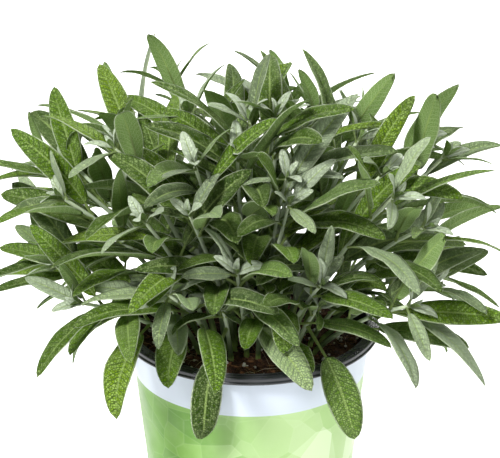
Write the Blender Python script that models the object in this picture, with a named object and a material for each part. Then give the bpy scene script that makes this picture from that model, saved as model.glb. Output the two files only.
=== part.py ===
"""A potted sage: a nursery pot in a printed sleeve, its potting soil and a clump of leafy shoots.

Metres, +Z up. The origin is the centre of the pot's flat base and the pot's axis is +Z.
The open side of the clump, where the soil shows, faces -Y.
"""

import math
import random
from functools import partial

import bmesh
import bpy
from mathutils import Matrix, Vector
from mathutils.bvhtree import BVHTree

# Pot: a thin tapered shell with a rolled rim.
POT_HEIGHT = 0.118
POT_BASE_RADIUS = 0.0515
POT_TOP_RADIUS = 0.0635  # outside of the wall, just under the rim
POT_WALL = 0.0012
FOOT_CHAMFER = 0.0020
RIM_RADIUS = 0.0695
RIM_DROP = 0.0040  # how far the rolled lip hangs down
RIM_BEAD = 0.0008  # the small ridge round the lip's lower edge
RIM_CROWN = 0.0009  # how much the rim's top is rounded
DRAIN_HOLES = 10
DRAIN_RADIUS = 0.0027
DRAIN_CIRCLE_RADIUS = 0.034
DRAIN_SEGMENTS = 10
ROUND_SEGMENTS = 48

# Sleeve: a thin printed wrap round the tapered wall, between the foot and the rim.
SLEEVE_WALL = 0.0006
SLEEVE_BOTTOM = 0.0060
SLEEVE_BELOW_RIM = 0.0008

# Soil: fills the pot to a little under the rim.
SOIL_BELOW_RIM = 0.0085
SOIL_EDGE_FALL = 0.0015
SOIL_EDGE_WIDTH = 0.0060

GAP = 0.0003  # between pieces that touch
CLEARANCE = 0.0004  # between leaves and whatever they pass
STEM_CLEARANCE = 0.0030  # between one stem and the next
WELD = 1e-6  # corners closer than this are one corner

# Stems: square, as in all of the mint family, with a pair of leaves at each joint.
STEM_WIDTH = 0.0026
STEM_TIP_WIDTH = 0.0016
STEM_JOINT = 0.0018  # height of the stretch that carries a pair of petioles

# Leaves: a full-grown blade; each pair has its own share of these.
LEAF_LENGTH = 0.055
LEAF_WIDTH = 0.0140
LEAF_THICKNESS = 0.0010
PETIOLE_LENGTH = 0.0110
PETIOLE_WIDTH = 0.0018
PETIOLE_FLATNESS = 0.8  # its depth as a share of its width
ROOM_TO_START = 0.0040  # kept free where each petiole will set out
LEAF_FOLD = 0.30  # how steeply the two halves rise from the midrib
# Where the blade's cross-sections stand along it, and how wide each is.
BLADE_STATIONS = ((0.0, 0.16), (0.30, 0.92), (0.71, 1.0))
SMALL_STATIONS = ((0.0, 0.20), (0.48, 1.0))
SMALL_LEAF = 0.60  # share of the full length below which a leaf is drawn more simply

# Leaf pairs, from the lowest up: height on the stem, angle from the stem in degrees, how far
# they turn up to the light, shares of the full length, width and petiole, and how far the
# blade arches over, in degrees.
BASAL_PAIR = (0.27, 66, 0.30, 0.74, 1.05, 1.50, 54)
LOWER_PAIR = (0.42, 66, 0.50, 0.90, 1.06, 1.30, 46)
MIDDLE_PAIR = (0.63, 56, 0.42, 1.06, 1.00, 0.95, 38)
UPPER_PAIR = (0.82, 44, 0.25, 1.00, 0.92, 0.62, 28)
TIP_PAIR = (0.965, 25, 0.10, 0.56, 0.62, 0.36, 12)
SPREADING_SHOOT = (LOWER_PAIR, MIDDLE_PAIR, UPPER_PAIR, TIP_PAIR)
UPRIGHT_SHOOT = (BASAL_PAIR, *SPREADING_SHOOT)

# Tiers of shoots, from the middle of the pot outwards: name, how many, radius of the ring in
# which they are rooted, lean at the soil and at the tip in degrees, and length.
TIERS = (
    ("centre_shoot", 6, 0.009, 4, 14, 0.124, UPRIGHT_SHOOT),
    ("inner_shoot", 10, 0.019, 12, 38, 0.128, UPRIGHT_SHOOT),
    ("middle_shoot", 14, 0.029, 24, 56, 0.119, SPREADING_SHOOT),
    ("outer_shoot", 14, 0.038, 42, 74, 0.080, SPREADING_SHOOT),
)
FRONT = math.radians(-90)
FRONT_SPREAD = math.radians(58)  # half the angle of the open side
FRONT_LEAN = 0.50  # share of the lean that shoots on the open side keep
FRONT_ROOT = 0.62  # and of their ring's radius

# Low shoots on the open side: direction from the front, lean at the soil and at the tip and
# twist in degrees, ring radius, length, and pairs of leaves, the first of which may hang down.
HANGING_PAIR = (0.60, 84, -0.05, 0.84, 1.22, 1.90, 88)
LOW_PAIR = (0.52, 76, 0.30, 0.68, 1.15, 1.20, 44)
MID_PAIR = (0.74, 54, 0.25, 0.80, 1.00, 0.70, 30)
YOUNG_PAIR = (0.82, 46, 0.20, 0.58, 0.80, 0.60, 20)
BUD_PAIR = (0.955, 26, 0.10, 0.34, 0.50, 0.30, 8)
HANGING_SHOOT = (HANGING_PAIR, YOUNG_PAIR, BUD_PAIR)
LOW_SHOOT = (LOW_PAIR, MID_PAIR, BUD_PAIR)
FRONT_SHOOTS = (
    (-20, 16, 34, 4, 0.031, 0.042, HANGING_SHOOT),
    (40, 20, 40, -6, 0.036, 0.044, HANGING_SHOOT),
    (8, 10, 32, 40, 0.031, 0.040, LOW_SHOOT),
    (-50, 22, 44, 30, 0.036, 0.046, LOW_SHOOT),
    (70, 24, 46, 42, 0.036, 0.046, LOW_SHOOT),
    (-5, 4, 22, 20, 0.019, 0.058, LOW_SHOOT),
    (-36, 8, 26, 66, 0.023, 0.060, LOW_SHOOT),
    (28, 8, 26, 10, 0.023, 0.060, LOW_SHOOT),
)

# How a leaf finds its place. Each try turns it a little from its pair's own pose, by more and
# more as tries go by, and after the plain ones it gives way in size too.
SEED = 23
PLAIN_TRIES = 16
MOST_TRIES = 600
STEM_TRIES = 160
LOOSER_EVERY = 14  # tries
MOST_LOOSE = 4
SHRINK_PER_TRY = 0.005
SMALLEST_SHARE = 0.15
SLIMMEST_SHARE = 0.6
TILT_SPREAD = 5  # standard deviations, in degrees
SWING_SPREAD = 9
ROLL_SPREAD = 16
TILT_RANGE = (21, 125)  # degrees from the stem
LEAST_OUTWARD = 0.36  # how far a petiole heads away from its own stem, as a cosine
ARCH_RANGE = (0.35, 1.35)  # shares of the pair's arch
SIZE_RANGE = (0.90, 1.10)
SLIM_RANGE = (0.88, 1.12)
FACE_UP = 0.60  # the upper side looks up, and in towards the stem's tip
FACE_IN = 0.55


def material(name, colour, roughness):
    """A plain Principled finish."""
    made = bpy.data.materials.new(name)
    made.use_nodes = True
    shader = made.node_tree.nodes["Principled BSDF"]
    shader.inputs["Base Color"].default_value = (*colour, 1.0)
    shader.inputs["Roughness"].default_value = roughness
    shader.inputs["Metallic"].default_value = 0.0
    return made


def add_object(name, mesh, finish):
    """Puts a mesh into the scene under its sub-part's name."""
    mesh.materials.append(finish)
    made = bpy.data.objects.new(name, mesh)
    bpy.context.scene.collection.objects.link(made)
    return made


def turned(name, profile, finish):
    """A body of revolution about Z, from (radius, z) points that run round its section."""
    shape = bmesh.new()
    points = [shape.verts.new((radius, 0.0, z)) for radius, z in profile]
    open_profile = profile[0][0] == 0.0
    pairs = list(zip(points, points[1:]))
    if not open_profile:
        pairs.append((points[-1], points[0]))
    edges = [shape.edges.new(pair) for pair in pairs]
    bmesh.ops.spin(
        shape,
        geom=points + edges,
        cent=(0.0, 0.0, 0.0),
        axis=(0.0, 0.0, 1.0),
        angle=math.tau,
        steps=ROUND_SEGMENTS,
        use_merge=True,
    )
    bmesh.ops.remove_doubles(shape, verts=shape.verts, dist=1e-6)
    bmesh.ops.recalc_face_normals(shape, faces=shape.faces)
    mesh = bpy.data.meshes.new(name)
    shape.to_mesh(mesh)
    shape.free()
    mesh.shade_smooth()
    mesh.set_sharp_from_angle(angle=math.radians(35))
    return add_object(name, mesh, finish)


def wall_radius(z):
    """Outside radius of the pot's tapered wall at height z."""
    share = z / (POT_HEIGHT - RIM_DROP)
    return POT_BASE_RADIUS + share * (POT_TOP_RADIUS - POT_BASE_RADIUS)


def add_pot(finish):
    """The black shell: flat base with drain holes, tapered wall and rolled rim."""
    lip_bottom = POT_HEIGHT - RIM_DROP
    lip_radius = RIM_RADIUS - RIM_BEAD
    inner_top = wall_radius(POT_HEIGHT) - POT_WALL
    profile = [
        (0.0, 0.0),
        (POT_BASE_RADIUS - FOOT_CHAMFER, 0.0),
        (wall_radius(FOOT_CHAMFER), FOOT_CHAMFER),
        (wall_radius(lip_bottom), lip_bottom),
        (wall_radius(POT_HEIGHT - POT_WALL), POT_HEIGHT - POT_WALL),
        (lip_radius - POT_WALL, POT_HEIGHT - POT_WALL),
        (lip_radius - POT_WALL, lip_bottom),
        (RIM_RADIUS, lip_bottom),
        (RIM_RADIUS, lip_bottom + RIM_BEAD),
        (lip_radius, lip_bottom + 2 * RIM_BEAD),
        (lip_radius, POT_HEIGHT - RIM_CROWN),
        (lip_radius - RIM_CROWN, POT_HEIGHT),
        (inner_top + RIM_CROWN, POT_HEIGHT),
        (inner_top, POT_HEIGHT - RIM_CROWN),
        (wall_radius(POT_WALL) - POT_WALL, POT_WALL),
        (0.0, POT_WALL),
    ]
    pot = turned("pot", profile, finish)
    cut = pot.modifiers.new("drain_holes", "BOOLEAN")
    cut.operation = "DIFFERENCE"
    cut.object = drain_hole_cutters()
    return pot


def drain_hole_cutters():
    """A ring of short rods that pass through the pot's base."""
    cutters = bmesh.new()
    for hole in range(DRAIN_HOLES):
        place = Matrix.Rotation(math.tau * hole / DRAIN_HOLES, 4, "Z") @ Matrix.Translation(
            (DRAIN_CIRCLE_RADIUS, 0.0, POT_WALL / 2)
        )
        bmesh.ops.create_cone(
            cutters,
            cap_ends=True,
            segments=DRAIN_SEGMENTS,
            radius1=DRAIN_RADIUS,
            radius2=DRAIN_RADIUS,
            depth=4 * POT_WALL,
            matrix=place,
        )
    mesh = bpy.data.meshes.new("drain_hole_cutters")
    cutters.to_mesh(mesh)
    cutters.free()
    drills = bpy.data.objects.new("drain_hole_cutters", mesh)
    bpy.context.scene.collection.objects.link(drills)
    drills.hide_render = True
    drills.display_type = "WIRE"
    return drills


def add_sleeve(finish):
    """The printed wrap: a conical band that hugs the wall from the foot to the rim."""
    top = POT_HEIGHT - RIM_DROP - SLEEVE_BELOW_RIM
    profile = [
        (wall_radius(SLEEVE_BOTTOM) + GAP, SLEEVE_BOTTOM),
        (wall_radius(SLEEVE_BOTTOM) + GAP + SLEEVE_WALL, SLEEVE_BOTTOM),
        (wall_radius(top) + GAP + SLEEVE_WALL, top),
        (wall_radius(top) + GAP, top),
    ]
    return turned("printed_sleeve", profile, finish)


def soil_top():
    """Height of the soil's flat top."""
    return POT_HEIGHT - SOIL_BELOW_RIM


def add_soil(finish):
    """The root ball: a plug that fills the pot, flat on top with a sunken edge."""

    def radius(z):
        return wall_radius(z) - POT_WALL - GAP

    bottom = POT_WALL + GAP
    edge = soil_top() - SOIL_EDGE_FALL
    profile = [
        (0.0, bottom),
        (radius(bottom), bottom),
        (radius(edge), edge),
        (radius(edge) - SOIL_EDGE_WIDTH, soil_top()),
        (0.0, soil_top()),
    ]
    return turned("potting_soil", profile, finish)


class Surroundings:
    """What is already in place, to keep new leaves and stems clear of."""

    def __init__(self):
        self.trees = []

    def add(self, owner, points, faces):
        low = Vector(min(p[k] for p in points) for k in range(3))
        high = Vector(max(p[k] for p in points) for k in range(3))
        self.trees.append((owner, low, high, BVHTree.FromPolygons(points, faces)))

    def hit_by(self, points, faces, skip=None, only=None):
        """Whether this shape meets anything. Owner skip is left out; only limits it to one."""
        low = [min(p[k] for p in points) for k in range(3)]
        high = [max(p[k] for p in points) for k in range(3)]
        tree = None
        for owner, other_low, other_high, other in self.trees:
            if owner == skip or (only is not None and owner != only):
                continue
            if any(low[k] > other_high[k] or high[k] < other_low[k] for k in range(3)):
                continue
            tree = tree or BVHTree.FromPolygons(points, faces)
            if tree.overlap(other):
                return True
        return False


def split(a, b, c, d):
    """A four-sided face as two triangles, always cut the same way."""
    return [(a, b, c), (a, c, d)]


def lofted(rings, tip=None):
    """(points, faces) of a closed tube through rings of four, ended by a cap or by a tip."""
    points = [p for ring in rings for p in ring]
    faces = [(3, 2, 1, 0)]
    for level in range(len(rings) - 1):
        for side in range(4):
            a, b = 4 * level + side, 4 * level + (side + 1) % 4
            faces += split(a, b, b + 4, a + 4)
    last = 4 * (len(rings) - 1)
    if tip is None:
        faces.append((last, last + 1, last + 2, last + 3))
    else:
        points.append(tip)
        faces += [(last + s, last + (s + 1) % 4, len(points) - 1) for s in range(4)]
    return points, faces


def pierces(start, end, triangle):
    """Whether the straight line from start to end passes through a triangle."""
    a, b, c = triangle
    normal = (b - a).cross(c - a)
    before, after = (start - a).dot(normal), (end - a).dot(normal)
    if before * after >= 0:
        return False
    hit = start.lerp(end, before / (before - after))
    return all((q - p).cross(hit - p).dot(normal) >= 0 for p, q in ((a, b), (b, c), (c, a)))


def cross_over(one, other):
    """Whether two triangles pass through each other, away from the corners that they share."""
    for first, second in ((one, other), (other, one)):
        for k in range(3):
            ends = first[k], first[(k + 1) % 3]
            if any((e - corner).length < WELD for e in ends for corner in second):
                continue
            if pierces(*ends, second):
                return True
    return False


def square_ring(centre, across, along, half):
    """The four corners of a stem's section, anticlockwise seen from the shoot's tip."""
    return [
        centre + half * (x * across + y * along)
        for x, y in ((1, 1), (-1, 1), (-1, -1), (1, -1))
    ]


class Stem:
    """A square stem that rises from the soil and leans over as it goes up."""

    STEPS = 24

    def __init__(self, azimuth, root_radius, lean_root, lean_tip, length, twist, sway):
        outward = Vector((math.cos(azimuth), math.sin(azimuth), 0.0))
        self.sideways = Vector((-math.sin(azimuth), math.cos(azimuth), 0.0))
        self.length = length
        self.twist = twist
        place = root_radius * outward
        place.z = soil_top() + GAP
        self.line = [place]
        self.headings = []
        for step in range(self.STEPS):
            share = (step + 0.5) / self.STEPS
            lean = math.radians(lean_root + (lean_tip - lean_root) * share)
            heading = math.sin(lean) * outward + math.cos(lean) * Vector((0, 0, 1))
            heading += sway * math.sin(math.pi * share) * self.sideways
            heading.normalize()
            self.headings.append(heading)
            place = place + heading * length / self.STEPS
            self.line.append(place)

    def at(self, share):
        """(point, heading) at a share of the stem's length."""
        step = min(share * self.STEPS, self.STEPS - 1e-6)
        low = int(step)
        point = self.line[low].lerp(self.line[low + 1], step - low)
        return point, self.headings[low]

    def ring(self, share, grow=0.0, level=False):
        """The stem's square section at a share of its length, level where it meets the soil."""
        point, heading = self.at(share)
        if level:
            heading = Vector((0.0, 0.0, 1.0))
        across = (self.sideways - heading * self.sideways.dot(heading)).normalized()
        across = Matrix.Rotation(self.twist, 3, heading) @ across
        along = heading.cross(across)
        width = STEM_WIDTH + share * (STEM_TIP_WIDTH - STEM_WIDTH)
        return square_ring(point, across, along, width / 2 + grow)

    def shares(self, pairs):
        """Where the stem's rings stand: one at the soil, one between joints, two at a joint."""
        half = STEM_JOINT / self.length / 2
        found = [0.0, pairs[0][0] / 2]
        for pair in pairs:
            found += [pair[0] - half, pair[0] + half]
        return found

    def rings(self, pairs, grow=0.0):
        """All of the stem's sections, stouter by grow on each side."""
        shares = self.shares(pairs)
        return [self.ring(share, grow, level=share == 0.0) for share in shares]


def leaf_rings(start, heading, facing, length, width, petiole, arch, grow=0.0):
    """Sections of a leaf from its petiole's end to near its tip, and the tip itself.

    heading is where the petiole sets out, facing the way that the upper side looks. The leaf
    arches over by arch radians about a level axis. grow makes it stouter all round.
    """
    bow = heading.cross(Vector((0.0, 0.0, 1.0)))
    bow = bow.normalized() if bow.length > 0.05 else heading.cross(facing).normalized()
    whole = petiole + length
    stations = SMALL_STATIONS if length < SMALL_LEAF * LEAF_LENGTH else BLADE_STATIONS
    stops = [petiole + share * length for share, _ in stations] + [whole + grow]
    place = start
    gone = 0.0
    rings = []
    for index, stop in enumerate(stops):
        turn = Matrix.Rotation(-arch * (gone + stop) / 2 / whole, 3, bow)
        place = place + (turn @ heading) * (stop - gone)
        gone = stop
        if index == len(stations):
            return rings, place
        turn = Matrix.Rotation(-arch * stop / whole, 3, bow)
        ahead = turn @ heading
        up = turn @ facing
        up = (up - ahead * up.dot(ahead)).normalized()
        right = up.cross(ahead)
        half = max(width * stations[index][1], PETIOLE_WIDTH) / 2
        lift = LEAF_FOLD * (half - PETIOLE_WIDTH / 2)
        thick = (LEAF_THICKNESS if index else PETIOLE_WIDTH * PETIOLE_FLATNESS) / 2 + grow
        half += grow
        rings.append(
            [
                place - thick * up,
                place + half * right + lift * up,
                place + thick * up,
                place - half * right + lift * up,
            ]
        )


def least_twist(socket, ring):
    """Which corner of a socket to start from, so that the petiole drawn out of it twists least."""
    centre, middle = sum(socket, Vector()) / 4, sum(ring, Vector()) / 4

    def match(start):
        pairs = zip(socket[start:] + socket[:start], ring)
        return sum((a - centre).dot(b - middle) for a, b in pairs)

    return max(range(4), key=match)


def petiole_ring(start, heading, facing):
    """A small section across the way that a petiole sets out."""
    right = facing.cross(heading).normalized()
    half = PETIOLE_WIDTH / 2
    return [start - half * facing, start + half * right, start + half * facing, start - half * right]


class Shoot:
    """One rooted stem with its pairs of leaves: a single grown body."""

    def __init__(self, name, stem, pairs):
        self.name = name
        self.stem = stem
        self.pairs = pairs
        self.leaves = {}  # (pair, side) to (rings, tip)
        self.skin = self.stem_triangles()

    def stem_triangles(self):
        """The stem's triangles, without the faces that leaves grow from."""
        rings = self.stem.rings(self.pairs)
        leafy = {
            (2 + 2 * pair, self.quad_side(pair, side))
            for pair in range(len(self.pairs))
            for side in (0, 1)
        }
        found = []
        for level in range(len(rings) - 1):
            for side in range(4):
                low, high, n = rings[level], rings[level + 1], (side + 1) % 4
                if (level, side) not in leafy:
                    found += split(low[side], low[n], high[n], high[side])
        return found

    def drawn(self, pair, side, rings, tip):
        """(points, faces) of a whole leaf with its petiole, open where it meets the stem."""
        socket, _, _ = self.socket(pair, side)
        start = least_twist(socket, rings[0])
        points, faces = lofted([socket[start:] + socket[:start], *rings], tip)
        return points, faces[1:]

    def runs_into_itself(self, points, faces):
        """Whether a leaf passes through the rest of this shoot, or through itself."""
        triangles = [tuple(points[k] for k in face) for face in faces]
        tree = BVHTree.FromPolygons(points, faces)
        if any(a < b and cross_over(triangles[a], triangles[b]) for a, b in tree.overlap(tree)):
            return True
        skin_points = [corner for triangle in self.skin for corner in triangle]
        skin_faces = [(k, k + 1, k + 2) for k in range(0, len(skin_points), 3)]
        near = tree.overlap(BVHTree.FromPolygons(skin_points, skin_faces))
        return any(cross_over(triangles[a], self.skin[b]) for a, b in near)

    def quad_side(self, pair, side):
        """Which face of the square stem a leaf grows from: pairs alternate by a quarter turn."""
        return (pair + 2 * side) % 4

    def socket(self, pair, side):
        """(corners, centre, outward normal) of the stem face that a leaf grows from."""
        low = 2 + 2 * pair
        rings = self.stem.rings(self.pairs)
        face = self.quad_side(pair, side)
        corners = [rings[low][face], rings[low][(face + 1) % 4]]
        corners += [rings[low + 1][(face + 1) % 4], rings[low + 1][face]]
        centre = sum(corners, Vector()) / 4
        normal = (corners[1] - corners[0]).cross(corners[3] - corners[0]).normalized()
        return corners, centre, normal

    def keep_room(self, around):
        """Marks where each petiole will set out, so that no leaf grows across it."""
        for pair, (share, angle, *_) in enumerate(self.pairs):
            _, along = self.stem.at(share)
            for side in (0, 1):
                _, centre, normal = self.socket(pair, side)
                tilt = math.radians(angle)
                heading = math.cos(tilt) * along + math.sin(tilt) * normal
                facing = (along - heading * along.dot(heading)).normalized()
                first = petiole_ring(centre + GAP * heading, heading, facing)
                last = [p + ROOM_TO_START * heading for p in first]
                around.add(self.name, *lofted([first, last]))

    def grow_leaf(self, pair, side, dice, around):
        """Finds a clear pose for one leaf, close to the pair's own, and keeps it."""
        share, angle, rise, length, width, petiole, arch = self.pairs[pair]
        _, centre, normal = self.socket(pair, side)
        _, along = self.stem.at(share)
        size = dice.uniform(*SIZE_RANGE)
        slim = dice.uniform(*SLIM_RANGE)
        for attempt in range(MOST_TRIES):
            loose = 1 + attempt / LOOSER_EVERY
            give = max(SMALLEST_SHARE, 1 - SHRINK_PER_TRY * max(0, attempt - PLAIN_TRIES))
            tilt = math.radians(angle + dice.gauss(0, TILT_SPREAD) * loose)
            tilt = min(max(tilt, math.radians(TILT_RANGE[0])), math.radians(TILT_RANGE[1]))
            heading = math.cos(tilt) * along + math.sin(tilt) * normal
            swing = math.radians(dice.gauss(0, SWING_SPREAD) * min(loose, MOST_LOOSE))
            heading = Matrix.Rotation(swing, 3, along) @ heading + Vector((0, 0, rise))
            heading.normalize()
            heading += max(0.0, LEAST_OUTWARD - heading.dot(normal)) * normal
            heading.normalize()
            facing = Vector((0, 0, FACE_UP)) + FACE_IN * along
            facing = (facing - heading * facing.dot(heading)).normalized()
            roll = Matrix.Rotation(math.radians(dice.gauss(0, ROLL_SPREAD)), 3, heading)
            facing = roll @ facing
            bend = math.radians(arch * dice.uniform(*ARCH_RANGE))
            spec = (
                centre,
                heading,
                facing,
                LEAF_LENGTH * length * size * give,
                LEAF_WIDTH * width * size * slim * max(give, SLIMMEST_SHARE),
                PETIOLE_LENGTH * petiole * size * max(give, SLIMMEST_SHARE),
                bend,
            )
            rings, tip = leaf_rings(*spec, grow=CLEARANCE)
            blade = lofted(rings, tip)
            if around.hit_by(*blade, only=self.name):
                continue
            if around.hit_by(*self.drawn(pair, side, rings, tip), skip=self.name):
                continue
            rings, tip = leaf_rings(*spec)
            if not self.runs_into_itself(*self.drawn(pair, side, rings, tip)):
                break
        else:
            print(f"{self.name}: no clear place for leaf {side + 1} of pair {pair + 1}")
        rings, tip = leaf_rings(*spec)
        self.leaves[pair, side] = (rings, tip)
        points, faces = self.drawn(pair, side, rings, tip)
        self.skin += [tuple(points[k] for k in face) for face in faces]
        around.add(self.name, *lofted(rings, tip))
        around.add(self.name + " petiole", points[:8], faces[:8])

    def add_to_scene(self, finish):
        """Joins stem and leaves into one closed mesh, each leaf drawn out of a stem face."""
        rings = self.stem.rings(self.pairs)
        points = [p for ring in rings for p in ring]
        faces = [(3, 2, 1, 0)]
        leafy = {(2 + 2 * p, self.quad_side(p, s)): (p, s) for p, s in self.leaves}
        for level in range(len(rings) - 1):
            for side in range(4):
                a, b = 4 * level + side, 4 * level + (side + 1) % 4
                quad = (a, b, b + 4, a + 4)
                if (level, side) not in leafy:
                    faces += split(*quad)
                    continue
                leaf, tip = self.leaves[leafy[level, side]]
                start = least_twist([points[k] for k in quad], leaf[0])
                quad = quad[start:] + quad[:start]
                for section in leaf:
                    first = len(points)
                    points += section
                    new = tuple(range(first, first + 4))
                    for k in range(4):
                        n = (k + 1) % 4
                        faces += split(quad[k], quad[n], new[n], new[k])
                    quad = new
                points.append(tip)
                faces += [(quad[k], quad[(k + 1) % 4], len(points) - 1) for k in range(4)]
        last = 4 * (len(rings) - 1)
        faces.append((last, last + 1, last + 2, last + 3))
        mesh = bpy.data.meshes.new(self.name)
        mesh.from_pydata(points, [], faces)
        mesh.update()
        return add_object(self.name, mesh, finish)


def openness(azimuth):
    """1 at the middle of the open side, falling to 0 at its ends."""
    off = abs((azimuth - FRONT + math.pi) % math.tau - math.pi)
    return max(0.0, math.cos(min(off / FRONT_SPREAD, 1.0) * math.pi / 2))


def clear_stem(name, pairs, around, make):
    """Asks make for stems until one stands clear of those already there, and keeps it.

    The longer this takes, the less clearance it asks for and the further it strays.
    """
    for attempt in range(STEM_TRIES):
        stray = attempt / STEM_TRIES
        stem = make(1 + 2 * stray)
        grow = STEM_CLEARANCE * (1 - 0.8 * stray)
        if not around.hit_by(*lofted(stem.rings(pairs, grow)), skip="potting_soil"):
            break
    around.add(name, *lofted(stem.rings(pairs)))
    return Shoot(name, stem, pairs)


def tier_stem(dice, tier, index, stray):
    """A stem of one tier. On the open side they stand further back and more upright."""
    _, count, radius, lean_root, lean_tip, length, _ = TIERS[tier]
    azimuth = math.tau * (index + 0.5 * (tier % 2)) / count
    azimuth += dice.uniform(-0.26, 0.26) * stray * math.tau / count
    upright = 1 - (1 - FRONT_LEAN) * openness(azimuth)
    back = 1 - (1 - FRONT_ROOT) * openness(azimuth)
    return Stem(
        azimuth,
        radius * back * dice.uniform(0.88, 1.12),
        lean_root * upright,
        (lean_tip + dice.uniform(-8, 8)) * upright,
        length * dice.uniform(0.88, 1.10),
        math.radians(45 + dice.uniform(-30, 30)),
        dice.uniform(-0.14, 0.14),
    )


def front_stem(dice, index, stray):
    """One of the low stems of the open side."""
    azimuth, lean_root, lean_tip, twist, radius, length, _ = FRONT_SHOOTS[index]
    return Stem(
        FRONT + math.radians(azimuth + dice.uniform(-3, 3) * stray),
        radius * dice.uniform(0.94, 1.06),
        lean_root,
        lean_tip,
        length,
        math.radians(twist),
        dice.uniform(-0.05, 0.05),
    )


def planned_shoots(dice, around):
    """Every shoot's stem: the low ones of the open side, then tier by tier."""
    shoots = []
    for index, (*_, pairs) in enumerate(FRONT_SHOOTS):
        name = f"front_shoot_{index + 1:02d}"
        make = partial(front_stem, dice, index)
        shoots.append(clear_stem(name, pairs, around, make))
    for tier, (label, count, *_, pairs) in enumerate(TIERS):
        for index in range(count):
            name = f"{label}_{index + 1:02d}"
            make = partial(tier_stem, dice, tier, index)
            shoots.append(clear_stem(name, pairs, around, make))
    return shoots


def mesh_of(obj):
    """(points, faces) of an object's own mesh, for the surroundings."""
    points = [v.co.copy() for v in obj.data.vertices]
    return points, [tuple(p.vertices) for p in obj.data.polygons]


def grow_clump(finish, holders):
    """Stems first, then leaves from the outermost pairs inwards, each clear of what is there."""
    dice = random.Random(SEED)
    around = Surroundings()
    for holder in holders:
        around.add(holder.name, *mesh_of(holder))
    shoots = planned_shoots(dice, around)
    for shoot in shoots:
        shoot.keep_room(around)
    most = max(len(shoot.pairs) for shoot in shoots)
    for pair in range(most):
        for shoot in shoots:
            if pair < len(shoot.pairs):
                shoot.grow_leaf(pair, 0, dice, around)
                shoot.grow_leaf(pair, 1, dice, around)
    for shoot in shoots:
        shoot.add_to_scene(finish)


def main():
    for old in list(bpy.data.objects):
        bpy.data.objects.remove(old)
    pot = add_pot(material("black_pot_plastic", (0.020, 0.022, 0.024), 0.38))
    sleeve = add_sleeve(material("printed_film", (0.62, 0.80, 0.42), 0.45))
    soil = add_soil(material("peat", (0.055, 0.028, 0.018), 0.95))
    foliage = material("sage_foliage", (0.16, 0.26, 0.10), 0.75)
    grow_clump(foliage, (pot, sleeve, soil))


main()
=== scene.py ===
# %% [markdown]
# # A pot of common sage
# A thin black nursery pot in a printed film sleeve, filled with peat, holds a bushy clump of
# sage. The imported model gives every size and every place, so it is loaded first and stays as
# it is. New pieces are modelled round it, one step at a time.

import math
import random

import bpy
import numpy as np
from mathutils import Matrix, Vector
from mathutils.bvhtree import BVHTree


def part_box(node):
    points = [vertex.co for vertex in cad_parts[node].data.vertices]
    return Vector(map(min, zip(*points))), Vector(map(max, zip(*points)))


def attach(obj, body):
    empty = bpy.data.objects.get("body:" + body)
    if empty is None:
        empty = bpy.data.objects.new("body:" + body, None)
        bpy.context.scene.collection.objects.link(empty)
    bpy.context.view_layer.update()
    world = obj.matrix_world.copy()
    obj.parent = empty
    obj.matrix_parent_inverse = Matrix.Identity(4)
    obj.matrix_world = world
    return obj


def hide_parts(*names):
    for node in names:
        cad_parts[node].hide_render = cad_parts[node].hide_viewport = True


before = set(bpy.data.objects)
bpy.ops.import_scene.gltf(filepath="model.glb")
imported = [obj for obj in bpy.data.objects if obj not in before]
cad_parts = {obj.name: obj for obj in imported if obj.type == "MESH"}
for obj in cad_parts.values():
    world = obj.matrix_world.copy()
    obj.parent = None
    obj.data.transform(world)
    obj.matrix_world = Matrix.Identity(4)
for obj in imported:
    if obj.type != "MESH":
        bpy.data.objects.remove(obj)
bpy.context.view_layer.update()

# %% [markdown]
# ## The camera
# The pot is seen from a little above, about 23 degrees over the horizon, from straight in
# front. A long lens keeps the rim's ellipse calm. The camera is aimed above the rim, so that
# the clump fills the frame and the pot's foot falls outside it.

# %% Camera
MM = 0.001
rim_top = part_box("pot")[1].z
ELEVATION = math.radians(23)
CAMERA_DISTANCE = 1.10
FRAME_WIDTH = 263 * MM  # what the frame spans at the pot's axis
AIM_ABOVE_RIM = 53 * MM
SENSOR = 36  # millimetres

lens_data = bpy.data.cameras.new("camera")
camera = bpy.data.objects.new("camera", lens_data)
bpy.context.scene.collection.objects.link(camera)
back = Vector((0, -math.cos(ELEVATION), math.sin(ELEVATION)))
aim = Vector((0, 0, rim_top + AIM_ABOVE_RIM))
camera.location = aim + CAMERA_DISTANCE * back
camera.rotation_euler = (-back).to_track_quat("-Z", "Y").to_euler()
lens_data.sensor_width = SENSOR
lens_data.lens = SENSOR * CAMERA_DISTANCE / FRAME_WIDTH
bpy.context.scene.camera = camera
print("lens", round(lens_data.lens, 1), "mm")

# %% [markdown]
# ## Light
# A high-key table: soft light from all round, one broad lamp from the upper left in front,
# a weaker one from the right, and one from behind, so that light shines through the leaves.
# Colours are shown as they are, without a film look.

# %% Lights and world
bpy.context.scene.view_settings.view_transform = "Standard"


def add_lamp(name, place, target, size, power):
    """A square soft box at a place, turned to its target."""
    data = bpy.data.lights.new(name, "AREA")
    data.shape, data.size, data.energy = "SQUARE", size, power
    lamp = bpy.data.objects.new(name, data)
    bpy.context.scene.collection.objects.link(lamp)
    lamp.location = place
    lamp.rotation_euler = (Vector(target) - Vector(place)).to_track_quat("-Z", "Y").to_euler()


CLUMP_MIDDLE = (0, 0, 0.17)
add_lamp("key_lamp", (-0.60, -0.85, 1.25), CLUMP_MIDDLE, 0.36, 40)
add_lamp("fill_lamp", (1.1, -0.6, 0.7), CLUMP_MIDDLE, 0.7, 6)
add_lamp("back_lamp", (0.35, 1.1, 1.0), CLUMP_MIDDLE, 0.6, 26)

world = bpy.data.worlds.new("white_room")
bpy.context.scene.world = world
world.use_nodes = True
world.node_tree.nodes["Background"].inputs["Color"].default_value = (1, 1, 1, 1)
world.node_tree.nodes["Background"].inputs["Strength"].default_value = 0.45

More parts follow.
